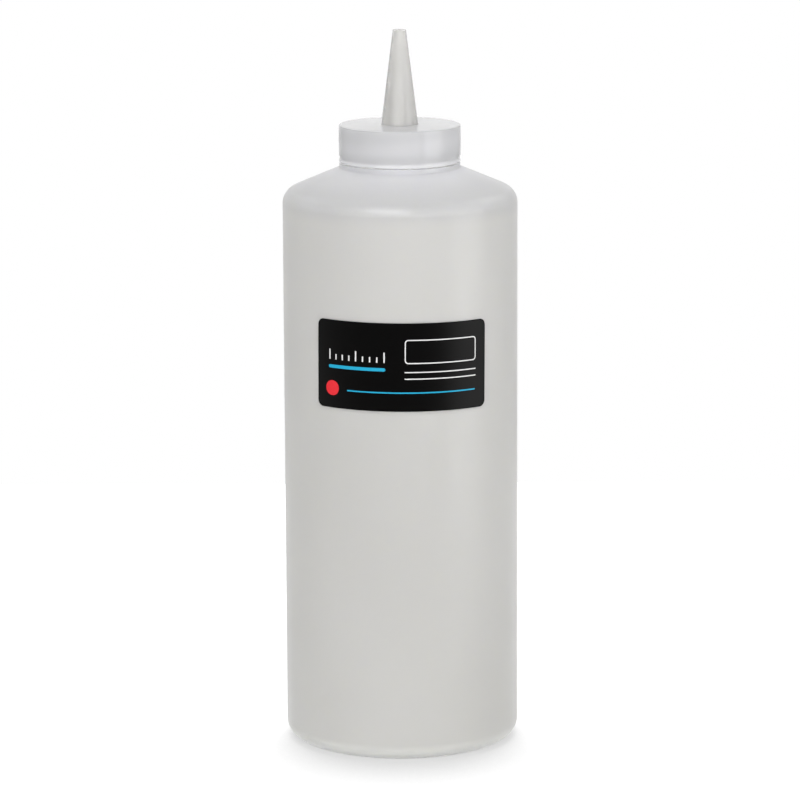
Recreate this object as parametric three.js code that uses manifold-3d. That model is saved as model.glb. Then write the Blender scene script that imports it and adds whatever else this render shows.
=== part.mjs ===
// Squeeze bottle for sauce: a blow-moulded bottle, a screw cap with a cone nozzle, a sealing washer
// under the cap and a sticker on the front.
// Millimetres, +Z up. The origin is on the table at the centre of the foot ring, the label faces -Y.

import * as THREE from 'three';
import { mergeVertices } from 'three/addons/utils/BufferGeometryUtils.js';
import Module from 'manifold-3d';

const wasm = await Module();
wasm.setup();

const fullTurn = Math.PI * 2;
const quarterTurn = Math.PI / 2;

// Bottle body
const bodyRadius = 39;
const bodyWall = 1.1;
const wallTopHeight = 181.9;
const shoulderCornerRadius = 5.3;
const shoulderSlope = THREE.MathUtils.degToRad(23.2);
const shoulderCrown = 0.15;
const baseCornerRadius = 5.7;
const footRingWidth = 2.8;
const pushUpHeight = 4.4;
const pinchOffLength = 46;
const pinchOffWidth = 1.4;
const pinchOffHeight = 0.6;

// Neck: a collar under the cap, a threaded tube and a rounded lip
const collarRadius = 20.05;
const collarHeight = 2;
const collarEdgeRadius = 0.5;
const collarFootRadius = 0.6;
const neckRadius = 17.45;
const neckBoreRadius = 15.9;
const neckHeight = 9.2;
const lipRadius = 0.4;

// Thread: the same pitch and flank slope on the neck and in the cap
const threadPitch = 25.4 / 6;
const threadDepth = 1.2;
const neckThreadBase = 2.2;
const neckThreadCrest = 0.9;
const neckThreadTurns = 1.35;
const neckThreadTopMargin = 0.4;
const capThreadCrest = 0.7;
const capThreadTurns = 1.25;
const capThreadBottomMargin = 0.65;
const threadRadialClearance = 0.4;
const threadAxialClearance = 0.35;
const threadRunOut = THREE.MathUtils.degToRad(30);
const threadRooting = 0.4;

// Sealing washer between the lip and the cap's top plate
const washerThickness = 1.2;
const washerSeatGap = 0.1;
const washerEdgeGap = 0.35;

// Cap
const capRadius = 20.15;
const capBulge = 0.12;
const capPlateThickness = 1.8;
const capTopEdgeRadius = 0.35;
const capRimGap = 0.15;
const capRimHeight = 1.05;
const capRimEdgeRadius = 0.25;
const capRimCrownRadius = 1.5;
const capGrooveHeight = 0.85;
const capGrooveDepth = 0.2;
const capGrooveEdgeHeight = 0.3;

// Nozzle, in one piece with the cap
const nozzleHeight = 31.4;
const nozzleBaseRadius = 6.1;
const nozzleTipRadius = 2.2;
const nozzleBoreBaseRadius = 4.9;
const nozzleBoreTipRadius = 1.2;
const nozzleFilletRadius = 0.4;
const nozzleBoreFilletRadius = 0.8;
const nozzleTipEdge = 0.25;

// Label
const labelWidth = 62;
const labelHeight = 29.2;
const labelCornerRadius = 2.2;
const labelCentreHeight = 133;
const labelTurn = THREE.MathUtils.degToRad(0.5);
const labelThickness = 0.15;
const labelGap = 0.05;

// Facets
const bodySegments = 64;
const capSegments = 60;
const threadStepsPerTurn = 48;
const labelSteps = 20;
const arcSteps = 6;
const innerArcSteps = 4;
const slopeSteps = 3;
const smallArcSteps = 2;

// Heights and radii that follow from the sizes above
const shoulderTurn = quarterTurn - shoulderSlope;
const slopeTopRadius = bodyRadius - shoulderCornerRadius * (1 - Math.cos(shoulderTurn));
const slopeTopHeight = wallTopHeight + shoulderCornerRadius * Math.sin(shoulderTurn);
const slopeEndRadius = collarRadius + collarFootRadius;
const collarBase = slopeTopHeight + (slopeTopRadius - slopeEndRadius) * Math.tan(shoulderSlope);
const collarTop = collarBase + collarHeight;
const neckTop = collarTop + neckHeight;
const washerBottom = neckTop + washerSeatGap;
const washerTop = washerBottom + washerThickness;
const capPlateBottom = washerTop + washerSeatGap;
const capTop = capPlateBottom + capPlateThickness;
const capBottom = collarTop + capRimGap;
const nozzleTop = capTop + nozzleHeight;
const skirtInnerRadius = neckRadius + threadDepth + threadRadialClearance;
const flankSlope = (neckThreadBase - neckThreadCrest) / 2 / threadDepth;

// Points of an arc in the r-z half plane, from one angle to another
function arc(centreRadius, centreHeight, radius, fromAngle, toAngle, steps) {
  const points = [];
  for (let i = 0; i <= steps; i += 1) {
    const angle = fromAngle + (toAngle - fromAngle) * i / steps;
    points.push([centreRadius + radius * Math.cos(angle), centreHeight + radius * Math.sin(angle)]);
  }
  return points;
}

// Crowned straight run from one point to another, without its first point
function crownedRun(from, to, crown, steps) {
  const points = [];
  for (let i = 1; i <= steps; i += 1) {
    const share = i / steps;
    points.push([
      from[0] + (to[0] - from[0]) * share,
      from[1] + (to[1] - from[1]) * share + crown * Math.sin(Math.PI * share),
    ]);
  }
  return points;
}

// Same points with repeats taken out, so that no facet of a revolve is empty
function withoutRepeats(points) {
  return points.filter((point, i) => {
    const last = points[i - 1];
    return i === 0 || point[0] !== last[0] || point[1] !== last[1];
  });
}

// Geometry with shared corners and no empty triangles
function closed(geometry) {
  const bare = geometry.clone();
  bare.deleteAttribute('normal');
  bare.deleteAttribute('uv');
  const merged = mergeVertices(bare);
  const index = merged.index.array;
  const kept = [];
  for (let i = 0; i < index.length; i += 3) {
    const [a, b, c] = [index[i], index[i + 1], index[i + 2]];
    if (a !== b && b !== c && c !== a) kept.push(a, b, c);
  }
  merged.setIndex(kept);
  return merged;
}

// Solid of revolution about +Z from [radius, height] pairs that run up the outside
function revolve(profile, segments) {
  const points = withoutRepeats(profile).map(([r, z]) => new THREE.Vector2(r, z));
  const geometry = new THREE.LatheGeometry(points, segments);
  geometry.rotateX(quarterTurn);
  return closed(geometry);
}

// Closed bar through four-cornered sections, each a list of [x, y, z] corners
function barThrough(sections) {
  const corners = sections[0].length;
  const index = [];
  for (let i = 0; i + 1 < sections.length; i += 1) {
    for (let j = 0; j < corners; j += 1) {
      const next = (j + 1) % corners;
      const [a, b] = [i * corners + j, i * corners + next];
      const [c, d] = [a + corners, b + corners];
      index.push(a, c, b, b, c, d);
    }
  }
  const last = (sections.length - 1) * corners;
  for (let j = 1; j + 1 < corners; j += 1) {
    index.push(0, j, j + 1);
    index.push(last, last + j + 1, last + j);
  }
  const geometry = new THREE.BufferGeometry();
  geometry.setAttribute('position', new THREE.Float32BufferAttribute(sections.flat(2), 3));
  geometry.setIndex(index);
  return geometry;
}

function onCylinder(radius, angle, height) {
  return [radius * Math.cos(angle), radius * Math.sin(angle), height];
}

// Right-hand thread ridge. It grows out of the wall at one end and sinks back at the other.
function threadRidge({ rootRadius, crestRadius, rooting, base, crest, bottomAngle, bottomHeight, turns }) {
  const steps = Math.round(turns * threadStepsPerTurn);
  const sections = [];
  for (let i = 0; i <= steps; i += 1) {
    const turned = turns * fullTurn * i / steps;
    const fromEnd = Math.min(turned, turns * fullTurn - turned);
    const grown = Math.sin(quarterTurn * Math.min(1, fromEnd / threadRunOut));
    const height = bottomHeight + threadPitch * turned / fullTurn;
    const angle = bottomAngle + turned;
    const inWall = rootRadius + rooting;
    const top = inWall / 2 + rootRadius / 2;
    const crestHere = top + (crestRadius - top) * grown;
    sections.push([
      onCylinder(inWall, angle, height - base / 2),
      onCylinder(crestHere, angle, height - crest / 2),
      onCylinder(crestHere, angle, height + crest / 2),
      onCylinder(inWall, angle, height + base / 2),
    ]);
  }
  return crestRadius > rootRadius ? barThrough(sections) : barThrough(sections.map((s) => s.reverse()));
}

function solid(geometry) {
  return new wasm.Manifold(new wasm.Mesh({
    numProp: 3,
    vertProperties: new Float32Array(geometry.attributes.position.array),
    triVerts: new Uint32Array(geometry.index.array),
  }));
}

function geometryOf(manifold) {
  const mesh = manifold.getMesh();
  const geometry = new THREE.BufferGeometry();
  geometry.setAttribute('position', new THREE.Float32BufferAttribute(mesh.vertProperties, 3));
  geometry.setIndex(Array.from(mesh.triVerts));
  geometry.computeVertexNormals();
  return geometry;
}

function piece(name, geometry, material) {
  const mesh = new THREE.Mesh(geometry, material);
  mesh.name = name;
  return mesh;
}

// Materials
const naturalPolyethylene = new THREE.MeshStandardMaterial({
  color: 0xd3d4d3, roughness: 0.42, metalness: 0, transparent: true, opacity: 0.9,
});
const mouldedPolyethylene = new THREE.MeshStandardMaterial({
  color: 0xd8d9da, roughness: 0.35, metalness: 0, transparent: true, opacity: 0.92,
});
const polyethyleneFoam = new THREE.MeshStandardMaterial({ color: 0xf0f0ec, roughness: 0.8, metalness: 0 });
const printedFilm = new THREE.MeshStandardMaterial({ color: 0x17181a, roughness: 0.38, metalness: 0 });

// Underside of the base: a shallow dome that ends at the foot ring
function pushUp(height, radius, steps) {
  const points = [];
  for (let i = 0; i <= steps; i += 1) {
    const share = i / steps;
    points.push([radius * Math.sin(quarterTurn * share), height * Math.cos(quarterTurn * share)]);
  }
  return points;
}

// Bottle: one wall from the middle of the base, up the outside, over the lip and down the inside
function bottleProfile() {
  const footOuter = bodyRadius - baseCornerRadius;
  const footInner = footOuter - footRingWidth;
  const slopeTop = [slopeTopRadius, slopeTopHeight];
  const slopeEnd = [slopeEndRadius, collarBase];
  const slopeAway = bodyWall / Math.cos(shoulderSlope);
  const boreEndHeight = collarBase - slopeAway + (slopeEndRadius - neckBoreRadius) * Math.tan(shoulderSlope);
  const innerSlopeTop = [
    slopeTopRadius - bodyWall * Math.sin(shoulderSlope),
    slopeTopHeight - bodyWall * Math.cos(shoulderSlope),
  ];
  const outside = [
    ...pushUp(pushUpHeight, footInner, arcSteps),
    ...arc(footOuter, baseCornerRadius, baseCornerRadius, -quarterTurn, 0, arcSteps),
    ...arc(bodyRadius - shoulderCornerRadius, wallTopHeight, shoulderCornerRadius, 0, shoulderTurn, arcSteps),
    ...crownedRun(slopeTop, slopeEnd, shoulderCrown, slopeSteps),
    ...arc(slopeEndRadius, collarBase + collarFootRadius, collarFootRadius, -quarterTurn, -2 * quarterTurn,
      smallArcSteps),
    ...arc(collarRadius - collarEdgeRadius, collarTop - collarEdgeRadius, collarEdgeRadius, 0, quarterTurn,
      smallArcSteps),
    [neckRadius, collarTop],
    ...arc(neckRadius - lipRadius, neckTop - lipRadius, lipRadius, 0, quarterTurn, smallArcSteps),
    ...arc(neckBoreRadius + lipRadius, neckTop - lipRadius, lipRadius, quarterTurn, 2 * quarterTurn,
      smallArcSteps),
  ];
  const inside = [
    [neckBoreRadius, boreEndHeight],
    innerSlopeTop,
    ...arc(bodyRadius - shoulderCornerRadius, wallTopHeight, shoulderCornerRadius - bodyWall, shoulderTurn, 0,
      innerArcSteps),
    ...arc(footOuter, baseCornerRadius, baseCornerRadius - bodyWall, 0, -quarterTurn, innerArcSteps),
    ...pushUp(pushUpHeight, footInner - bodyWall, innerArcSteps)
      .map(([r, z]) => [r, z + bodyWall]).reverse(),
  ];
  return [...outside, ...inside];
}

// Weld scar that the mould leaves across the base, clear of the table
function pinchOff() {
  const footInner = bodyRadius - baseCornerRadius - footRingWidth;
  const sections = [];
  for (let i = 0; i <= arcSteps; i += 1) {
    const x = pinchOffLength * (i / arcSteps - 1 / 2);
    const skin = pushUpHeight * Math.sqrt(1 - (x / footInner) ** 2);
    const inWall = skin + bodyWall / 2;
    const crest = skin - pinchOffHeight;
    sections.push([
      [x, pinchOffWidth / 2, inWall],
      [x, pinchOffWidth / 4, crest],
      [x, -pinchOffWidth / 4, crest],
      [x, -pinchOffWidth / 2, inWall],
    ]);
  }
  return barThrough(sections);
}

function makeBottle() {
  const body = solid(revolve(bottleProfile(), bodySegments));
  const thread = solid(threadRidge({
    rootRadius: neckRadius,
    crestRadius: neckRadius + threadDepth,
    rooting: -threadRooting,
    base: neckThreadBase,
    crest: neckThreadCrest,
    ...neckThreadStart,
    turns: neckThreadTurns,
  }));
  return piece('bottle', geometryOf(body.add(thread).add(solid(pinchOff()))), naturalPolyethylene);
}

// The neck's thread ends just under the lip. The cap's runs below it, a clearance away on the flank.
const neckThreadRise = threadPitch * neckThreadTurns;
const neckThreadStart = {
  bottomAngle: 0,
  bottomHeight: neckTop - neckThreadTopMargin - neckThreadBase / 2 - neckThreadRise,
};
const threadOffset = neckThreadBase / 2 + capThreadCrest / 2
  - flankSlope * threadRadialClearance + threadAxialClearance;
const capThreadBase = capThreadCrest + 2 * flankSlope * threadDepth;
const capThreadBottom = capBottom + capThreadBottomMargin + capThreadBase / 2;
const capThreadStart = {
  bottomAngle: (capThreadBottom - neckThreadStart.bottomHeight + threadOffset) / threadPitch * fullTurn,
  bottomHeight: capThreadBottom,
};

// Cap: up the outside of the skirt, over the plate and nozzle, down the bore and the inside
function capProfile() {
  const rimTop = capBottom + capRimHeight;
  const grooveRadius = capRadius - capGrooveDepth;
  const grooveTop = rimTop + capGrooveHeight;
  const skirtFoot = grooveTop + capGrooveEdgeHeight;
  const rimLean = Math.acos(1 - capGrooveDepth / capRimCrownRadius);
  const skirtHead = capTop - capTopEdgeRadius;
  const skirt = crownedRun([capRadius, skirtFoot], [capRadius, skirtHead], 0, arcSteps)
    .map(([r, z]) => [r + capBulge * Math.sin(Math.PI * (z - skirtFoot) / (skirtHead - skirtFoot)), z]);
  const plateRadius = capRadius - capTopEdgeRadius;
  const tipHeight = nozzleTop - nozzleTipEdge;
  return [
    [skirtInnerRadius, capBottom],
    ...arc(capRadius - capRimEdgeRadius, capBottom + capRimEdgeRadius, capRimEdgeRadius, -quarterTurn, 0,
      smallArcSteps),
    ...arc(capRadius - capRimCrownRadius, rimTop - capRimCrownRadius * Math.sin(rimLean), capRimCrownRadius,
      0, rimLean, smallArcSteps),
    [grooveRadius, grooveTop],
    [capRadius, skirtFoot],
    ...skirt,
    ...arc(plateRadius, skirtHead, capTopEdgeRadius, 0, quarterTurn, smallArcSteps),
    ...arc(nozzleBaseRadius + nozzleFilletRadius, capTop + nozzleFilletRadius, nozzleFilletRadius,
      -quarterTurn, -2 * quarterTurn, smallArcSteps),
    [nozzleTipRadius, tipHeight],
    [nozzleTipRadius - nozzleTipEdge, nozzleTop],
    [nozzleBoreTipRadius, nozzleTop],
    [nozzleBoreBaseRadius, capPlateBottom + nozzleBoreFilletRadius],
    [nozzleBoreBaseRadius + nozzleBoreFilletRadius, capPlateBottom],
    [skirtInnerRadius, capPlateBottom],
    [skirtInnerRadius, capBottom],
  ];
}

function makeCap() {
  const shell = solid(revolve(capProfile(), capSegments));
  const thread = solid(threadRidge({
    rootRadius: skirtInnerRadius,
    crestRadius: skirtInnerRadius - threadDepth,
    rooting: threadRooting,
    base: capThreadBase,
    crest: capThreadCrest,
    ...capThreadStart,
    turns: capThreadTurns,
  }));
  return piece('cap', geometryOf(shell.add(thread)), mouldedPolyethylene);
}

// Washer: a flat ring that lies loose in the cap, above its thread
function makeWasher() {
  const outer = skirtInnerRadius - washerEdgeGap;
  const profile = [
    [neckBoreRadius, washerBottom],
    [outer, washerBottom],
    [outer, washerTop],
    [neckBoreRadius, washerTop],
    [neckBoreRadius, washerBottom],
  ];
  return piece('sealing_washer', revolve(profile, capSegments), polyethyleneFoam);
}

// Label: columns along the arc, each as tall as the rounded corners leave it
function makeLabel() {
  const innerRadius = bodyRadius + labelGap;
  const outerRadius = innerRadius + labelThickness;
  const straight = labelWidth / 2 - labelCornerRadius;
  const columns = [];
  for (let i = 0; i <= arcSteps; i += 1) {
    const angle = quarterTurn * i / arcSteps;
    columns.push([-straight - labelCornerRadius * Math.cos(angle), labelCornerRadius * (1 - Math.sin(angle))]);
  }
  for (let i = 1; i < labelSteps; i += 1) {
    columns.push([straight * (2 * i / labelSteps - 1), 0]);
  }
  for (let i = 0; i <= arcSteps; i += 1) {
    const angle = quarterTurn * i / arcSteps;
    columns.push([straight + labelCornerRadius * Math.sin(angle), labelCornerRadius * (1 - Math.cos(angle))]);
  }
  const sections = columns.map(([along, cut]) => {
    const angle = -quarterTurn + labelTurn + along / bodyRadius;
    const low = labelCentreHeight - labelHeight / 2 + cut;
    const high = labelCentreHeight + labelHeight / 2 - cut;
    return [
      onCylinder(innerRadius, angle, low),
      onCylinder(outerRadius, angle, low),
      onCylinder(outerRadius, angle, high),
      onCylinder(innerRadius, angle, high),
    ];
  });
  return piece('label', barThrough(sections), printedFilm);
}

const sauceBottle = new THREE.Group();
sauceBottle.add(makeBottle(), makeCap(), makeWasher(), makeLabel());

export default sauceBottle;
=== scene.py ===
import math

import bmesh
import bpy
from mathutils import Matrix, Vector


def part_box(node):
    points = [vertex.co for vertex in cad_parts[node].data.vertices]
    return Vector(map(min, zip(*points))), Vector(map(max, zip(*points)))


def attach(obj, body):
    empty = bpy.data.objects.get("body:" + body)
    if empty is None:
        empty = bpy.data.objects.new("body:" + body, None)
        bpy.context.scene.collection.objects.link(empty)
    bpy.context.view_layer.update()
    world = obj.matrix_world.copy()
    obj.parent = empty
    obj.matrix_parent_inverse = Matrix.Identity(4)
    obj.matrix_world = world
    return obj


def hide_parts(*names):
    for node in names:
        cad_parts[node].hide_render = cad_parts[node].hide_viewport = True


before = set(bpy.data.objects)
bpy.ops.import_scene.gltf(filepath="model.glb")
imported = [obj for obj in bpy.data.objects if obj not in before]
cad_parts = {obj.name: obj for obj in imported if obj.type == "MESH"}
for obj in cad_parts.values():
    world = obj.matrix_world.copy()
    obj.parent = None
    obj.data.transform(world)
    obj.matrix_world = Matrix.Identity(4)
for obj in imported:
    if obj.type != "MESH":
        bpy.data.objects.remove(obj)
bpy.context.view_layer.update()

MM = 0.001


# Camera. A long lens a little above the bottle, as in the photograph: 1.4 m off, looking down 11 degrees.
# The photographed bottle leans a quarter of a degree, so the camera is rolled by that much.
lens_mm = 192.8
film_width_mm = 36
look_at = Vector((-0.32 * MM, 0, 114.7 * MM))
camera_distance = 1435 * MM
camera_pitch = math.radians(11.04)
camera_roll = math.radians(-0.26)

camera_data = bpy.data.cameras.new("camera")
camera_data.lens = lens_mm
camera_data.sensor_width = film_width_mm
camera = bpy.data.objects.new("camera", camera_data)
bpy.context.scene.collection.objects.link(camera)
camera.location = look_at + camera_distance * Vector((0, -math.cos(camera_pitch), math.sin(camera_pitch)))
camera.rotation_mode = "ZXY"
camera.rotation_euler = (math.pi / 2 - camera_pitch, 0, camera_roll)
bpy.context.scene.camera = camera
bpy.context.scene.view_settings.view_transform = "Standard"


# Studio. White paper on a table with a white backdrop behind it, in a dim room. A wide soft wall of light
# stands in front and a dimmer one behind, with a key soft box above the first, and panels at the right, on
# both sides behind and high behind.
def linear(hex_colour):
    """An sRGB hex colour as linear red, green, blue and alpha."""
    channels = [int(hex_colour[i:i + 2], 16) / 255 for i in (0, 2, 4)]
    return [c / 12.92 if c <= 0.04045 else ((c + 0.055) / 1.055) ** 2.4 for c in channels] + [1.0]


def add_node(tree, kind, inputs=None, **settings):
    """A new node with its settings, and each input set to a value or linked to another node's socket."""
    node = tree.nodes.new(kind)
    for name, value in settings.items():
        setattr(node, name, value)
    for socket, value in (inputs or {}).items():
        if isinstance(value, bpy.types.NodeSocket):
            tree.links.new(value, node.inputs[socket])
        else:
            node.inputs[socket].default_value = value
    return node


def new_tree(owner):
    """The owner's emptied node tree."""
    owner.use_nodes = True
    owner.node_tree.nodes.clear()
    return owner.node_tree


backdrop_level = 1.0
backdrop_edge, backdrop_full = 0.75, 0.95
room_level = 0.18
room_below_table = 0.1
table_line, room_full = -0.05, 0.3
world = bpy.data.worlds.new("studio_room")
bpy.context.scene.world = world
tree = new_tree(world)
way = add_node(tree, "ShaderNodeSeparateXYZ", {0: add_node(tree, "ShaderNodeTexCoord").outputs["Generated"]})
backdrop = add_node(tree, "ShaderNodeMapRange", {
    "Value": way.outputs["Y"], "From Min": backdrop_edge, "From Max": backdrop_full,
    "To Max": backdrop_level}, interpolation_type="SMOOTHSTEP")
room = add_node(tree, "ShaderNodeMapRange", {
    "Value": way.outputs["Z"], "From Min": table_line, "From Max": room_full,
    "To Min": room_level * room_below_table, "To Max": room_level})
lit = add_node(tree, "ShaderNodeMath", {0: backdrop.outputs[0], 1: room.outputs[0]}, operation="MAXIMUM")
path = add_node(tree, "ShaderNodeLightPath")
clear = add_node(tree, "ShaderNodeMath", {
    0: path.outputs["Is Camera Ray"], 1: path.outputs["Is Transmission Ray"]}, operation="MAXIMUM")
level = add_node(tree, "ShaderNodeMix", {"Factor": clear.outputs[0], "A": lit.outputs[0], "B": 1.0})
sky = add_node(tree, "ShaderNodeBackground", {"Color": linear("FFFFFF"), "Strength": level.outputs[0]})
add_node(tree, "ShaderNodeOutputWorld", {"Surface": sky.outputs[0]})


# Each lamp faces the middle of the bottle. Azimuth and elevation are in degrees, with azimuth 0 behind the
# camera and growing to its right, and the distance, width and height are in metres.
for name, azimuth, elevation, distance, width, height, watts in (
        ("key_soft_box", -16, 46, 1.3, 0.85, 0.45, 7.8),
        ("front_wall", -8, 18, 1.8, 3.0, 0.8, 40),
        ("left_back_panel", -122, 8, 1.2, 1.2, 1.6, 4.2),
        ("right_panel", 68, 8, 1.2, 0.8, 1.6, 7.2),
        ("right_back_panel", 118, 14, 1.2, 1.3, 1.6, 5.0),
        ("high_back_panel", 180, 52, 1.3, 2.4, 0.9, 5.2),
        ("back_wall", 180, 16, 1.5, 1.6, 0.8, 9)):
    data = bpy.data.lights.new(name, "AREA")
    data.shape = "RECTANGLE"
    data.size = width
    data.size_y = height
    data.energy = watts
    lamp = bpy.data.objects.new(name, data)
    bpy.context.scene.collection.objects.link(lamp)
    side, up = math.radians(azimuth), math.radians(elevation)
    towards = Vector((math.sin(side) * math.cos(up), -math.cos(side) * math.cos(up), math.sin(up)))
    lamp.location = look_at + distance * towards
    lamp.rotation_euler = towards.to_track_quat("Z", "Y").to_euler()
    lamp.visible_camera = False
    # The walls stand for light from the whole front and back of the room, too even to show as a highlight.
    # The one behind doesn't shine through the bottle either.
    lamp.visible_glossy = name not in ("front_wall", "back_wall")
    lamp.visible_transmission = name != "back_wall"

paper_left, paper_right, paper_front, paper_back = -0.45, 0.5, -0.18, 0.4
bpy.ops.object.select_all(action="DESELECT")
bpy.ops.mesh.primitive_plane_add(size=1)
floor = bpy.context.object
floor.name = "paper_floor"
for vertex in floor.data.vertices:
    vertex.co.x = paper_right if vertex.co.x > 0 else paper_left
    vertex.co.y = paper_back if vertex.co.y > 0 else paper_front
# To the camera, and in gloss and see-through plastic, the paper is white from within. To the camera it
# darkens where the bottle hides the bright back and top of the room, which lays the soft short shadow at its
# foot. The bounced light comes from its matt colour.
glowing_share = 0.85
glow_level = 1.52
shade_reach = 120 * MM
deepest_shade = 0.45
shade_blend = 0.2
mirrored_share = 0.75
back_and_up = math.sqrt(0.5)
paper = bpy.data.materials.new("white_paper")
tree = new_tree(paper)
path = add_node(tree, "ShaderNodeLightPath")
glossy = add_node(tree, "ShaderNodeMath", {
    0: path.outputs["Is Camera Ray"], 1: path.outputs["Is Glossy Ray"]}, operation="MAXIMUM")
seen = add_node(tree, "ShaderNodeMath", {0: glossy.outputs[0], 1: path.outputs["Is Transmission Ray"]},
                operation="MAXIMUM")
share = add_node(tree, "ShaderNodeMath", {0: seen.outputs[0], 1: glowing_share}, operation="MULTIPLY")
white = add_node(tree, "ShaderNodeMix", {"Factor": seen.outputs[0], "A": linear("C4C4C4"),
                                         "B": linear("F4F4F4")}, data_type="RGBA")
matt = add_node(tree, "ShaderNodeBsdfDiffuse", {"Color": white.outputs["Result"]})
leaning = add_node(tree, "ShaderNodeCombineXYZ", {"Y": back_and_up, "Z": back_and_up})
open_room = add_node(tree, "ShaderNodeAmbientOcclusion", {
    "Distance": shade_reach, "Normal": leaning.outputs[0]}, samples=16)
shadow = add_node(tree, "ShaderNodeMath", {0: open_room.outputs["AO"], 1: deepest_shade, 2: shade_blend},
                  operation="SMOOTH_MAX")
shaded = add_node(tree, "ShaderNodeMix", {"Factor": path.outputs["Is Camera Ray"], "A": mirrored_share,
                                          "B": shadow.outputs[0]})
glowing = add_node(tree, "ShaderNodeMath", {0: shaded.outputs[0], 1: glow_level}, operation="MULTIPLY")
glow = add_node(tree, "ShaderNodeEmission", {"Color": linear("FFFFFF"), "Strength": glowing.outputs[0]})
both = add_node(tree, "ShaderNodeMixShader", {0: share.outputs[0], 1: matt.outputs[0], 2: glow.outputs[0]})
add_node(tree, "ShaderNodeOutputMaterial", {"Surface": both.outputs[0]})
floor.data.materials.append(paper)


# Bottle. Natural low-density polyethylene, blow moulded in one piece: a straight wall, a low conical
# shoulder, a collar under the cap and a pushed-up base inside a narrow foot ring.
body_radius = 39 * MM
body_wall = 1.1 * MM
wall_top = 181.9 * MM
shoulder_corner = 5.3 * MM
shoulder_slope = math.radians(23.2)
base_corner = 5.7 * MM
foot_ring = 2.8 * MM
push_up = 4.4 * MM
collar_radius = 20.05 * MM
collar_edge = 0.5 * MM
collar_foot = 0.6 * MM
neck_radius = 17.45 * MM
neck_bore = 15.9 * MM
neck_height = 9.2 * MM
lip_round = 0.4 * MM
pole_radius = 0.4 * MM
weld_reach = 0.005 * MM
steps_around = 160
arc_step = math.radians(9)
dome_steps = 8
crisp_angle = math.radians(35)


def select_ring(mesh, radius, height):
    """Selects the edges of one ring of a turned piece, and nothing else."""
    near = 0.02 * MM
    for part in (*mesh.verts, *mesh.edges, *mesh.faces):
        part.select = False
    for edge in mesh.edges:
        on_ring = (abs(v.co.z - height) < near and abs(v.co.xy.length - radius) < near for v in edge.verts)
        edge.select = all(on_ring)
    mesh.select_flush(True)


def turned(name, rings, closed_ring=False):
    """A turned piece, extruded ring by ring. A ring is (radius, height) or (radius, height, rounding)."""
    bpy.ops.object.select_all(action="DESELECT")
    bpy.ops.mesh.primitive_circle_add(vertices=steps_around, radius=rings[0][0], location=(0, 0, rings[0][1]))
    piece = bpy.context.object
    piece.name = name
    bpy.ops.object.transform_apply(location=True, rotation=True, scale=True)
    bpy.ops.object.mode_set(mode="EDIT")
    bpy.ops.mesh.select_mode(type="EDGE")
    bpy.ops.mesh.select_all(action="SELECT")
    for here, there in zip(rings, rings[1:]):
        bpy.ops.mesh.extrude_edges_move(TRANSFORM_OT_translate={"value": (0, 0, there[1] - here[1])})
        grow = there[0] / here[0]
        bpy.ops.transform.resize(value=(grow, grow, 1), center_override=(0, 0, there[1]))
    if closed_ring:
        bpy.ops.mesh.select_all(action="SELECT")
        bpy.ops.mesh.remove_doubles(threshold=weld_reach)
    else:
        for end in (rings[0], rings[-1]):
            select_ring(bmesh.from_edit_mesh(piece.data), end[0], end[1])
            bpy.ops.mesh.merge(type="CENTER")
    for i, ring in enumerate(rings):
        if len(ring) < 3:
            continue
        before, after = rings[i - 1], rings[(i + 1) % len(rings)]
        if closed_ring and i + 1 == len(rings):
            after = rings[1]
        way_in = math.atan2(ring[1] - before[1], ring[0] - before[0])
        way_out = math.atan2(after[1] - ring[1], after[0] - ring[0])
        bend = abs((way_out - way_in + math.pi) % (2 * math.pi) - math.pi)
        select_ring(bmesh.from_edit_mesh(piece.data), ring[0], ring[1])
        bpy.ops.mesh.bevel(offset=ring[2] * math.tan(bend / 2), offset_type="OFFSET",
                           segments=max(2, round(bend / arc_step)), profile=0.5)
    bpy.ops.mesh.select_all(action="SELECT")
    bpy.ops.mesh.normals_make_consistent(inside=False)
    bpy.ops.object.mode_set(mode="OBJECT")
    return piece


def dome(height, radius, lift=0.0):
    """Rings of the pushed-up base, from its pole out to the foot ring."""
    shares = [i / dome_steps for i in range(1, dome_steps + 1)]
    return [(pole_radius, height + lift)] + [
        (radius * math.sin(math.pi / 2 * s), height * math.cos(math.pi / 2 * s) + lift) for s in shares]


foot_inner = body_radius - base_corner - foot_ring
wall_meets_slope = wall_top + shoulder_corner * math.tan((math.pi / 2 - shoulder_slope) / 2)
collar_base = wall_meets_slope + (body_radius - collar_radius) * math.tan(shoulder_slope)
collar_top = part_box("bottle")[1].z - neck_height
neck_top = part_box("bottle")[1].z
slope_away = body_wall / math.cos(shoulder_slope)
inner_radius = body_radius - body_wall
inner_meet = wall_meets_slope - slope_away + body_wall * math.tan(shoulder_slope)
bore_end = inner_meet + (inner_radius - neck_bore) * math.tan(shoulder_slope)

bottle = turned("bottle_body", [
    *dome(push_up, foot_inner),
    (body_radius, 0, base_corner),
    (body_radius, wall_meets_slope, shoulder_corner),
    (collar_radius, collar_base, collar_foot),
    (collar_radius, collar_top, collar_edge),
    (neck_radius, collar_top),
    (neck_radius, neck_top, lip_round),
    (neck_bore, neck_top, lip_round),
    (neck_bore, bore_end, body_wall),
    (inner_radius, inner_meet, shoulder_corner - body_wall),
    (inner_radius, body_wall, base_corner - body_wall),
    *reversed(dome(push_up, foot_inner - body_wall, body_wall)),
])


# Neck thread. One right-hand ridge, a standard six threads to the inch, that runs out at both ends. It is
# formed in the same plastic as the neck, so it is fused to it.
thread_pitch = 25.4 / 6 * MM
thread_depth = 1.2 * MM
thread_base = 2.2 * MM
thread_crest = 0.9 * MM
thread_turns = 1.35
thread_top_margin = 0.4 * MM
thread_rooting = 0.3 * MM
thread_steps_per_turn = 72
run_out = math.radians(30)


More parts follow.
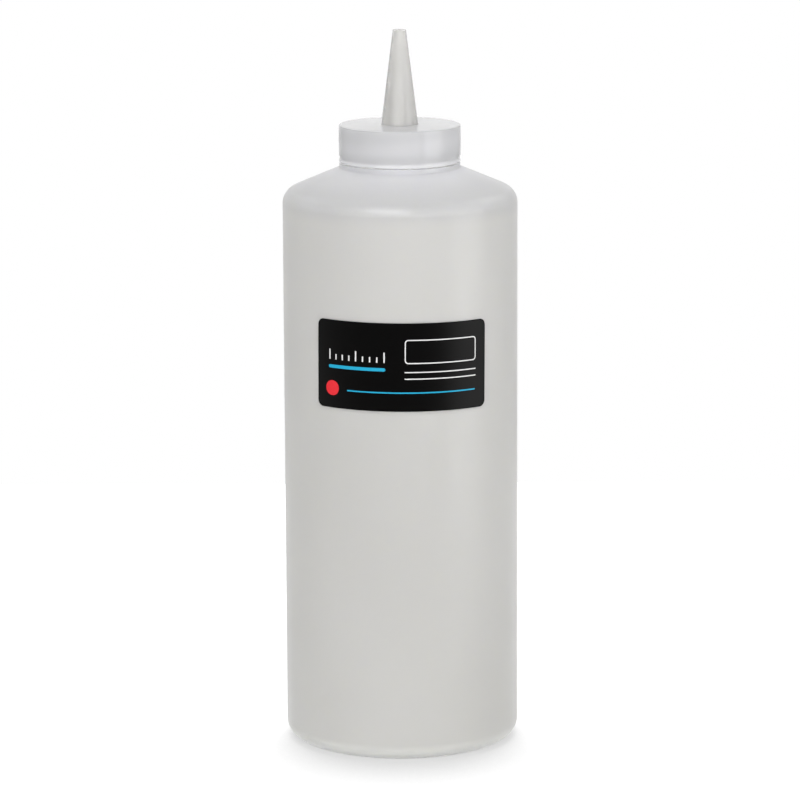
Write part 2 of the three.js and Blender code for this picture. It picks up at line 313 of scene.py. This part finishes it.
def thread(name, root, crest_radius, rooting, base, crest, start_angle, start_height, turns):
    """A thread ridge: one section carried up its helix by a Screw modifier, its ends sunk into the wall."""
    bpy.ops.object.select_all(action="DESELECT")
    bpy.ops.mesh.primitive_plane_add(size=1, rotation=(math.pi / 2, 0, 0))
    ridge = bpy.context.object
    ridge.name = name
    bpy.ops.object.transform_apply(location=True, rotation=True, scale=True)
    in_wall = root + rooting
    for vertex in ridge.data.vertices:
        at_crest = vertex.co.x > 0
        width = crest if at_crest else base
        height = math.copysign(width / 2, vertex.co.z)
        vertex.co = (crest_radius if at_crest else in_wall, 0, height)
    steps = round(turns * thread_steps_per_turn)
    screw = ridge.modifiers.new("helix", "SCREW")
    screw.angle = turns * 2 * math.pi
    screw.screw_offset = turns * thread_pitch
    screw.steps = screw.render_steps = steps
    screw.use_merge_vertices = False
    bpy.ops.object.modifier_apply(modifier="helix")
    sunk = (in_wall + root) / 2
    full = 2 * math.pi
    for vertex in ridge.data.vertices:
        radius = vertex.co.xy.length
        if abs(radius - crest_radius) > thread_depth / 2:
            continue
        angle = math.atan2(vertex.co.y, vertex.co.x)
        laps = [(vertex.co.z + edge) / thread_pitch * full for edge in (crest / 2, -crest / 2)]
        lap = min(laps, key=lambda a: abs((a - angle + math.pi) % full - math.pi))
        from_end = min(lap, turns * full - lap)
        grown = math.sin(math.pi / 2 * max(0.0, min(1.0, from_end / run_out)))
        new_radius = sunk + (crest_radius - sunk) * grown
        vertex.co.x *= new_radius / radius
        vertex.co.y *= new_radius / radius
    bpy.ops.object.mode_set(mode="EDIT")
    bpy.ops.mesh.select_all(action="SELECT")
    bpy.ops.mesh.normals_make_consistent(inside=False)
    bpy.ops.transform.rotate(value=-start_angle, orient_axis="Z", center_override=(0, 0, 0))
    bpy.ops.transform.translate(value=(0, 0, start_height))
    bpy.ops.object.mode_set(mode="OBJECT")
    return ridge


def fuse(piece, other):
    """Joins another solid to a piece, so that both are one wall."""
    union = piece.modifiers.new("fuse", "BOOLEAN")
    union.operation = "UNION"
    union.solver = "EXACT"
    union.object = other
    bpy.ops.object.select_all(action="DESELECT")
    bpy.context.view_layer.objects.active = piece
    bpy.ops.object.modifier_apply(modifier="fuse")
    bpy.data.objects.remove(other)


neck_thread_bottom = neck_top - thread_top_margin - thread_base / 2 - thread_pitch * thread_turns
fuse(bottle, thread("neck_thread", neck_radius, neck_radius + thread_depth, -thread_rooting, thread_base,
                    thread_crest, 0, neck_thread_bottom, thread_turns))


# Weld scar. A low ridge across the pushed-up base, left where the mould pinched the tube of plastic shut. It
# is part of the bottle's own wall.
scar_length = 46 * MM
scar_width = 1.4 * MM
scar_height = 0.6 * MM
scar_steps = 24
bpy.ops.object.select_all(action="DESELECT")
bpy.ops.mesh.primitive_cube_add(size=1)
scar = bpy.context.object
scar.name = "pinch_off"
bpy.ops.object.mode_set(mode="EDIT")
for step in range(1, scar_steps):
    bpy.ops.mesh.select_all(action="SELECT")
    bpy.ops.mesh.bisect(plane_co=(step / scar_steps - 0.5, 0, 0), plane_no=(1, 0, 0))
bpy.ops.object.mode_set(mode="OBJECT")
for vertex in scar.data.vertices:
    along = vertex.co.x * scar_length
    skin_height = push_up * math.sqrt(1 - (along / foot_inner) ** 2)
    if vertex.co.z > 0:
        vertex.co = (along, vertex.co.y * scar_width, skin_height + body_wall / 2)
    else:
        vertex.co = (along, vertex.co.y * scar_width / 2, skin_height - scar_height)
fuse(bottle, scar)


def smooth(piece):
    """Smooth shading, with sharp edges left crisp."""
    bpy.ops.object.select_all(action="DESELECT")
    bpy.context.view_layer.objects.active = piece
    piece.select_set(True)
    bpy.ops.object.shade_smooth_by_angle(angle=crisp_angle)


smooth(bottle)


# Natural low-density polyethylene: milky and waxy, with a satin skin. The mould leaves a soft orange peel,
# and the wall is not quite even, which clouds it in patches of about 45 mm.
cloud_mm = 45
satin_spread = 0.03
polyethylene_ior = 1.51


def polyethylene(name, colour, cloud, roughness, clearness, milk, milk_depth, peel_mm, peel_depth):
    """Milky see-through polyethylene: its material, its Principled node, its colour and its place."""
    material = bpy.data.materials.new(name)
    tree = new_tree(material)
    place = add_node(tree, "ShaderNodeTexCoord").outputs["Object"]
    patches = add_node(tree, "ShaderNodeTexNoise", {
        "Vector": place, "Scale": 1 / (cloud_mm * MM), "Detail": 2.0})
    tint = add_node(tree, "ShaderNodeMix", {"Factor": patches.outputs["Fac"], "A": linear(colour),
                                            "B": linear(cloud)}, data_type="RGBA")
    peel = add_node(tree, "ShaderNodeTexNoise", {"Vector": place, "Scale": 1 / (peel_mm * MM), "Detail": 3.0})
    bump = add_node(tree, "ShaderNodeBump", {"Strength": 1.0, "Distance": peel_depth * MM,
                                             "Height": peel.outputs["Fac"]})
    satin = add_node(tree, "ShaderNodeMapRange", {
        "Value": patches.outputs["Fac"], "To Min": roughness - satin_spread,
        "To Max": roughness + satin_spread})
    skin = add_node(tree, "ShaderNodeBsdfPrincipled", {
        "Base Color": tint.outputs["Result"], "Roughness": satin.outputs[0], "IOR": polyethylene_ior,
        "Transmission Weight": clearness, "Subsurface Weight": milk, "Subsurface Scale": milk_depth * MM,
        "Subsurface Radius": (1.0, 1.0, 0.9), "Normal": bump.outputs["Normal"]})
    add_node(tree, "ShaderNodeOutputMaterial", {"Surface": skin.outputs[0]})
    return material, skin, bump, tint.outputs["Result"], place


blown, skin, peel, tint, place = polyethylene(
    "blown_natural_ldpe", "DCDBD7", "D7D6D1", roughness=0.3, clearness=0.3, milk=1.0, milk_depth=4.0,
    peel_mm=3.0, peel_depth=0.01)

# The tube of plastic is drawn out of its die, which leaves faint upright streaks about 5 mm apart, and a
# hairline runs up both sides where the mould's halves met. It is drawn 0.5 mm wide so that it shows.
streak_mm = 5.0
streak_stretch = 0.04
streak_depth = 0.03
parting_width = 0.5 * MM
parting_depth = 0.05
tree = blown.node_tree
drawn = add_node(tree, "ShaderNodeMapping", {"Vector": place, "Scale": (1.0, 1.0, streak_stretch)})
streaks = add_node(tree, "ShaderNodeTexNoise", {
    "Vector": drawn.outputs["Vector"], "Scale": 1 / (streak_mm * MM), "Detail": 2.0})
wall = add_node(tree, "ShaderNodeBump", {"Strength": 1.0, "Distance": streak_depth * MM,
                                         "Height": streaks.outputs["Fac"], "Normal": peel.outputs["Normal"]})
spot = add_node(tree, "ShaderNodeSeparateXYZ", {0: place})
beside = add_node(tree, "ShaderNodeMath", {0: spot.outputs["Y"]}, operation="ABSOLUTE")
line = add_node(tree, "ShaderNodeMapRange", {
    "Value": beside.outputs[0], "From Min": 0.0, "From Max": parting_width / 2, "To Min": 1.0, "To Max": 0.0},
    interpolation_type="SMOOTHSTEP")
parting = add_node(tree, "ShaderNodeBump", {"Strength": 1.0, "Distance": parting_depth * MM,
                                            "Height": line.outputs[0], "Normal": wall.outputs["Normal"]})
tree.links.new(parting.outputs["Normal"], skin.inputs["Normal"])

# The wall's colour carries painted light and shade by height. It is painted slowly darker down the wall,
# and greyer round the shoulder's outer edge: painted shade. The foot is painted whiter with a faint green,
# painted light through the base, and the slope above the shoulder whiter with a faint blue, painted light
# from above; from the collar's foot up it goes back near the wall's own colour. The collar's upper edge is
# painted white: painted light in the gap under the cap.
def tint_between(tree, height, tint, start, end, colour):
    """Turns a tint into a colour between two heights, and gives that colour's share and the new tint."""
    share = add_node(tree, "ShaderNodeMapRange", {"Value": height, "From Min": start, "From Max": end},
                     interpolation_type="SMOOTHSTEP").outputs[0]
    mixed = add_node(tree, "ShaderNodeMix", {"Factor": share, "A": tint, "B": colour}, data_type="RGBA")
    return share, mixed.outputs["Result"]


painted_shade_top, painted_shade_full = 150 * MM, 20 * MM
gap_light_reach = 0.15 * MM
height = spot.outputs["Z"]
# Painted shade: the colour is multiplied darker from 150 mm down to 20 mm above the base.
lower_shade_share = add_node(tree, "ShaderNodeMapRange", {"Value": height, "From Min": painted_shade_top,
                                             "From Max": painted_shade_full})
lower_wall_shaded = add_node(tree, "ShaderNodeMix", {"Factor": lower_shade_share.outputs[0], "A": tint, "B": linear("F3F3F3")},
                  data_type="RGBA", blend_type="MULTIPLY")
tint = lower_wall_shaded.outputs["Result"]
for start, end, colour in (
        # Painted light: a whiter, faintly green foot, as light through the base.
        (6 * MM, 1 * MM, "F8F9F0"),
        # Painted shade: greyer round the shoulder's outer edge.
        (wall_top - 4 * MM, wall_top + 3 * MM, "CACACA"),
        # Painted light: whiter and faintly blue on the slope, as light from above.
        (wall_top + 4 * MM, wall_top + 14 * MM, "E8E8EA"),
        (collar_base - 1.5 * MM, collar_base + 0.5 * MM, "DADADC")):
    _, tint = tint_between(tree, height, tint, start, end, linear(colour))
# Painted light: the collar's upper edge is painted white against the shade in the gap under the cap.
edge = add_node(tree, "ShaderNodeMath", {0: height, 1: collar_top, 2: gap_light_reach}, operation="COMPARE")
shade = add_node(tree, "ShaderNodeMix", {"Factor": edge.outputs[0], "A": tint, "B": linear("FFFFFF")},
                 data_type="RGBA")
tree.links.new(shade.outputs["Result"], skin.inputs["Base Color"])
bottle.data.materials.clear()
bottle.data.materials.append(blown)
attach(bottle, "bottle")
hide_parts("bottle")


# Cap. Injection moulded in the same plastic, in one piece with its hollow cone nozzle: a plain skirt
# with a rim bead over a fine groove, a flat top and a thread inside.
cap_radius = 20.15 * MM
cap_bulge = 0.12 * MM
plate_thickness = 1.8 * MM
cap_top_edge = 0.35 * MM
cap_rim = 1.05 * MM
cap_rim_edge = 0.25 * MM
cap_rim_crown = 1.5 * MM
groove_height = 0.85 * MM
groove_depth = 0.2 * MM
groove_edge = 0.3 * MM
skirt_inner = 19.05 * MM
skirt_inner_edge = 0.15 * MM
nozzle_height = 31.4 * MM
nozzle_base = 6.1 * MM
nozzle_tip = 2.2 * MM
bore_base = 4.9 * MM
bore_tip = 1.2 * MM
nozzle_fillet = 0.4 * MM
bore_fillet = 0.8 * MM
tip_edge = 0.25 * MM

cap_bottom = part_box("cap")[0].z
nozzle_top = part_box("cap")[1].z
cap_top = nozzle_top - nozzle_height
plate_bottom = cap_top - plate_thickness
rim_top = cap_bottom + cap_rim
groove_top = rim_top + groove_height
skirt_foot = groove_top + groove_edge
rim_lean = math.acos(1 - groove_depth / cap_rim_crown)
rim_crown_foot = rim_top - cap_rim_crown * math.sin(rim_lean)
rim_crown = [(cap_radius - cap_rim_crown * (1 - math.cos(rim_lean * share)),
              rim_crown_foot + cap_rim_crown * math.sin(rim_lean * share))
             for share in (0, 0.25, 0.5, 0.75, 1)]
skirt_bulge = [(cap_radius + cap_bulge * swell, skirt_foot + (cap_top - skirt_foot) * share)
               for share, swell in ((0.25, 0.7), (0.5, 1), (0.75, 0.7))]

cap = turned("cap_shell", [
    (skirt_inner, cap_bottom, skirt_inner_edge),
    (cap_radius, cap_bottom, cap_rim_edge),
    *rim_crown,
    (cap_radius - groove_depth, groove_top),
    (cap_radius, skirt_foot),
    *skirt_bulge,
    (cap_radius, cap_top, cap_top_edge),
    (nozzle_base, cap_top, nozzle_fillet),
    (nozzle_tip, nozzle_top, tip_edge),
    (bore_tip, nozzle_top, tip_edge / 2),
    (bore_base, plate_bottom, bore_fillet),
    (skirt_inner, plate_bottom),
    (skirt_inner, cap_bottom, skirt_inner_edge),
], closed_ring=True)

# The cap's thread lies under the neck's, a clearance away on the flank.
cap_thread_crest = 0.7 * MM
cap_thread_turns = 1.25
cap_thread_margin = 0.65 * MM
axial_clearance = 0.35 * MM
radial_clearance = 0.4 * MM
flank = (thread_base - thread_crest) / 2 / thread_depth
cap_thread_base = cap_thread_crest + 2 * flank * thread_depth
offset = thread_base / 2 + cap_thread_crest / 2 - flank * radial_clearance + axial_clearance
cap_thread_bottom = cap_bottom + cap_thread_margin + cap_thread_base / 2
cap_thread_angle = (cap_thread_bottom - neck_thread_bottom + offset) / thread_pitch * 2 * math.pi
fuse(cap, thread("cap_thread", skirt_inner, skirt_inner - thread_depth, thread_rooting, cap_thread_base,
                 cap_thread_crest, cap_thread_angle, cap_thread_bottom, cap_thread_turns))
smooth(cap)

satin_skin = 0.2
polished_skin = 0.07
skirt_clearness = 0.15
nozzle_clearness = 0.5
moulded, skin, _, tint, place = polyethylene(
    "moulded_natural_ldpe", "C5C5C7", "C2C2C4", roughness=satin_skin, clearness=skirt_clearness, milk=0.5,
    milk_depth=2.0, peel_mm=1.5, peel_depth=0.004)

# The nozzle's thin wall is clearer and a little warmer than the skirt. A soft band that climbs round the
# skirt, where the threads back it up, is whiter: thicker wall, and partly painted light showing through.
# The rim bead is painted whiter, a painted highlight, and the skirt's lowest edge white, painted light in
# the gap over the collar. The top's corner is painted greyer, painted shade that dims its highlight, and
# the flat top comes off a polished face of the mould.
band_rise = 2 * thread_pitch
band_phase = 0.4
band_start, band_full, band_share = 0.05, 0.45, 0.3
bead_highlight_share = 0.6
tree = moulded.node_tree
spot = add_node(tree, "ShaderNodeSeparateXYZ", {0: place})
height = spot.outputs["Z"]
angle = add_node(tree, "ShaderNodeMath", {0: spot.outputs["Y"], 1: spot.outputs["X"]}, operation="ARCTAN2")
turn = add_node(tree, "ShaderNodeMath", {0: angle.outputs[0], 1: 2 * math.pi}, operation="DIVIDE")
rises = add_node(tree, "ShaderNodeMath", {0: height, 1: band_rise}, operation="DIVIDE")
lap = add_node(tree, "ShaderNodeMath", {0: rises.outputs[0], 1: turn.outputs[0]}, operation="SUBTRACT")
phase = add_node(tree, "ShaderNodeMath", {0: lap.outputs[0], 1: band_phase})
wave = add_node(tree, "ShaderNodeMath", {0: phase.outputs[0], 1: 0.5}, operation="PINGPONG")
# The band: whiter where the threads thicken the wall, partly painted light showing through them.
band = add_node(tree, "ShaderNodeMapRange", {
    "Value": wave.outputs[0], "From Min": band_start, "From Max": band_full, "To Max": band_share},
    interpolation_type="SMOOTHSTEP")
# Painted highlight: the rim bead's colour is mixed towards white.
bead_highlight = add_node(tree, "ShaderNodeMapRange", {
    "Value": height, "From Min": rim_top + 0.4 * MM, "From Max": rim_top - 0.2 * MM, "To Max": bead_highlight_share},
    interpolation_type="SMOOTHSTEP")
thick_and_highlight = add_node(tree, "ShaderNodeMath", {0: band.outputs[0], 1: bead_highlight.outputs[0]}, operation="MAXIMUM")
banded_and_highlit = add_node(tree, "ShaderNodeMix", {"Factor": thick_and_highlight.outputs[0], "A": tint, "B": linear("D5D5D7")},
                  data_type="RGBA")
tint = banded_and_highlit.outputs["Result"]
thinning = add_node(tree, "ShaderNodeMapRange", {"Value": height, "From Min": cap_top,
                                                 "From Max": nozzle_top})
cone = add_node(tree, "ShaderNodeMix", {"Factor": thinning.outputs[0], "A": linear("CDCCCA"),
                                        "B": linear("D8D7D5")}, data_type="RGBA").outputs["Result"]
# Painted light: the nozzle's foot is painted a touch lighter, in the fillet where it meets the top.
_, cone = tint_between(tree, height, cone, cap_top + 0.6 * MM, cap_top + 0.3 * MM, linear("CFCECC"))
for start, end, colour in (
        # Painted light: the skirt's lowest edge is painted white, against the shade in the gap over the
        # collar.
        (cap_bottom + 0.2 * MM, cap_bottom + 0.05 * MM, linear("FFFFFF")),
        # Painted shade: the top's corner is painted greyer, which dims its highlight.
        (cap_top - 0.5 * MM, cap_top - 0.2 * MM, linear("B4B4B6")),
        (cap_top - 0.03 * MM, cap_top - 0.005 * MM, linear("C9C9CA"))):
    on_top, tint = tint_between(tree, height, tint, start, end, colour)
on_nozzle, tint = tint_between(tree, height, tint, cap_top + 0.01 * MM, cap_top + 0.06 * MM, cone)
clearness = add_node(tree, "ShaderNodeMapRange", {"Value": on_nozzle, "To Min": skirt_clearness,
                                                  "To Max": nozzle_clearness})
polish = add_node(tree, "ShaderNodeMapRange", {"Value": on_top, "To Min": satin_skin,
                                               "To Max": polished_skin})
satin = add_node(tree, "ShaderNodeMapRange", {"Value": on_nozzle, "To Min": polish.outputs[0],
                                              "To Max": satin_skin})
tree.links.new(satin.outputs[0], skin.inputs["Roughness"])
tree.links.new(tint, skin.inputs["Base Color"])
tree.links.new(clearness.outputs[0], skin.inputs["Transmission Weight"])
cap.data.materials.clear()
cap.data.materials.append(moulded)
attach(cap, "cap")
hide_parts("cap")


# Sealing washer. A die-cut ring of closed-cell polyethylene foam, matt and white. It lies loose in the cap,
# between the top plate and the lip of the neck.
washer_low, washer_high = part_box("sealing_washer")
washer_edge = 0.15 * MM
foam_cell = 0.4 * MM
foam_cell_depth = 0.05 * MM
washer = turned("foam_washer", [
    (neck_bore, washer_low.z, washer_edge),
    (washer_high.x, washer_low.z, washer_edge),
    (washer_high.x, washer_high.z, washer_edge),
    (neck_bore, washer_high.z, washer_edge),
    (neck_bore, washer_low.z, washer_edge),
], closed_ring=True)
smooth(washer)
foam = bpy.data.materials.new("closed_cell_foam")
tree = new_tree(foam)
place = add_node(tree, "ShaderNodeTexCoord").outputs["Object"]
cells = add_node(tree, "ShaderNodeTexVoronoi", {"Vector": place, "Scale": 1 / foam_cell})
shade = add_node(tree, "ShaderNodeMix", {"Factor": cells.outputs["Distance"], "A": linear("F1F1EC"),
                                         "B": linear("E4E4DE")}, data_type="RGBA")
dimple = add_node(tree, "ShaderNodeBump", {"Strength": 0.6, "Distance": foam_cell_depth,
                                           "Height": cells.outputs["Distance"]})
skin = add_node(tree, "ShaderNodeBsdfPrincipled", {"Base Color": shade.outputs["Result"], "Roughness": 0.75,
                                                   "Normal": dimple.outputs["Normal"]})
add_node(tree, "ShaderNodeOutputMaterial", {"Surface": skin.outputs[0]})
washer.data.materials.append(foam)
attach(washer, "washer")
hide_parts("sealing_washer")


# Label. A black film sticker with rounded corners, cut from a printed roll and laid by hand round the front
# of the wall, with its right end a little low.
label_width = 60 * MM
label_height = 29.2 * MM
label_corner = 2.2 * MM
label_centre = 133 * MM
label_turn = math.radians(0.5)
label_lean = math.radians(0.5)
label_gap = 0.05 * MM
film_thickness = 0.12 * MM
column_step = 1.25 * MM


def flat_shape(name, width, height, corner, at=(0, 0), line=0):
    """A flat sheet in the x-z plane, cut in columns so that it bends. A line leaves only its frame."""
    bpy.ops.object.select_all(action="DESELECT")
    bpy.ops.mesh.primitive_plane_add(size=1, rotation=(math.pi / 2, 0, 0))
    sheet = bpy.context.object
    sheet.name = name
    sheet.scale = (width, height, 1)
    bpy.ops.object.transform_apply(location=True, rotation=True, scale=True)
    bpy.ops.object.mode_set(mode="EDIT")
    bpy.ops.mesh.select_mode(type="VERT")
    bpy.ops.mesh.select_all(action="SELECT")
    if corner:
        bpy.ops.mesh.bevel(offset=corner, offset_type="OFFSET", segments=8, affect="VERTICES")
    if line:
        bpy.ops.mesh.select_mode(type="FACE")
        bpy.ops.mesh.select_all(action="SELECT")
        bpy.ops.mesh.inset(thickness=line)
        bpy.ops.mesh.delete(type="FACE")
        bpy.ops.mesh.select_mode(type="VERT")
    columns = math.ceil(width / column_step)
    for i in range(1, columns):
        x = width * (i / columns - 0.5)
        bpy.ops.mesh.select_all(action="SELECT")
        bpy.ops.mesh.bisect(plane_co=(x, 0, 0), plane_no=(1, 0, 0))
    bpy.ops.mesh.select_all(action="SELECT")
    bpy.ops.transform.translate(value=(at[0], 0, at[1]))
    bpy.ops.object.mode_set(mode="OBJECT")
    return sheet


def wrap(sheet, radius, thickness):
    """Bends a flat sheet round the wall at the label's height and gives it its thickness, outward."""
    for vertex in sheet.data.vertices:
        along = vertex.co.x * math.cos(label_lean) + vertex.co.z * math.sin(label_lean)
        up = vertex.co.z * math.cos(label_lean) - vertex.co.x * math.sin(label_lean)
        angle = along / body_radius + label_turn
        vertex.co = (radius * math.sin(angle), -radius * math.cos(angle), label_centre + up)
    bpy.ops.object.select_all(action="DESELECT")
    bpy.context.view_layer.objects.active = sheet
    sheet.select_set(True)
    bpy.ops.object.mode_set(mode="EDIT")
    bpy.ops.mesh.select_all(action="SELECT")
    bpy.ops.mesh.normals_make_consistent(inside=False)
    bpy.ops.object.mode_set(mode="OBJECT")
    for face in sheet.data.polygons:
        outward = Vector((face.center.x, face.center.y, 0))
        if face.normal.dot(outward) < 0:
            face.flip()
    solid = sheet.modifiers.new("thickness", "SOLIDIFY")
    solid.thickness = thickness
    solid.offset = 1.0
    bpy.ops.object.modifier_apply(modifier="thickness")


ink_mottle = 0.6 * MM
varnish_ior = 1.27


def printed(name, colour, press, roughness=0.15):
    """Press ink under a thin varnish, which gives it a soft sheen, a little uneven from place to place."""
    material = bpy.data.materials.new(name)
    tree = new_tree(material)
    place = add_node(tree, "ShaderNodeTexCoord").outputs["Object"]
    mottle = add_node(tree, "ShaderNodeTexNoise", {"Vector": place, "Scale": 1 / ink_mottle, "Detail": 2.0})
    ink = add_node(tree, "ShaderNodeMix", {"Factor": mottle.outputs["Fac"], "A": linear(colour),
                                           "B": linear(press)}, data_type="RGBA")
    skin = add_node(tree, "ShaderNodeBsdfPrincipled", {"Base Color": ink.outputs["Result"],
                                                       "Roughness": roughness, "IOR": varnish_ior})
    add_node(tree, "ShaderNodeOutputMaterial", {"Surface": skin.outputs[0]})
    return material


label = flat_shape("sticker", label_width, label_height, label_corner)
wrap(label, body_radius + label_gap, film_thickness)
smooth(label)
label.data.materials.append(printed("printed_black_film", "040404", "080707", 0.4))
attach(label, "bottle")
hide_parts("label")


# Print on the label. Inks laid on the film by the press, in a plain design: an empty panel over two rules, a
# scale of ticks, two bars and a dot. Each shape is (width, height, corner, across, up, line) in millimetres,
# placed from the label's middle, and a line leaves only its frame.
ink_thickness = 0.025 * MM
tick_width, short_tick, tall_tick = 0.45, 1.8, 3.4
tick_count, first_tick, tick_step, tick_height = 9, -25, 2.4, 2.4
ticks = []
for i in range(tick_count):
    tall = tall_tick if i % 4 == 0 else short_tick
    ticks.append((tick_width, tall, 0, first_tick + tick_step * i, tick_height + (tall - short_tick) / 2, 0))
inks = {
    "white_ink": ("DADADA", "D0D0D0", [(25, 8, 1.2, 13.4, 5.2, 0.35), (25, 0.35, 0, 13.4, -1.6, 0),
                                       (25, 0.35, 0, 13.4, -3.8, 0), *ticks]),
    "cyan_ink": ("2C9FC2", "2590B2", [(20, 1.1, 0.5, -15.4, -0.8, 0), (44, 0.45, 0, 3.6, -8.4, 0)]),
    "red_ink": ("D6353B", "C92E35", [(5, 5, 2.45, -24, -8, 0)]),
}
for name, (colour, press, shapes) in inks.items():
    sheets = [flat_shape(name, width * MM, height * MM, corner * MM, (across * MM, up * MM), line * MM)
              for width, height, corner, across, up, line in shapes]
    bpy.ops.object.select_all(action="DESELECT")
    for sheet in sheets:
        sheet.select_set(True)
    bpy.context.view_layer.objects.active = sheets[0]
    if len(sheets) > 1:
        bpy.ops.object.join()
    print_shapes = sheets[0]
    wrap(print_shapes, body_radius + label_gap + film_thickness, ink_thickness)
    print_shapes.data.materials.append(printed(name, colour, press))
    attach(print_shapes, "bottle")
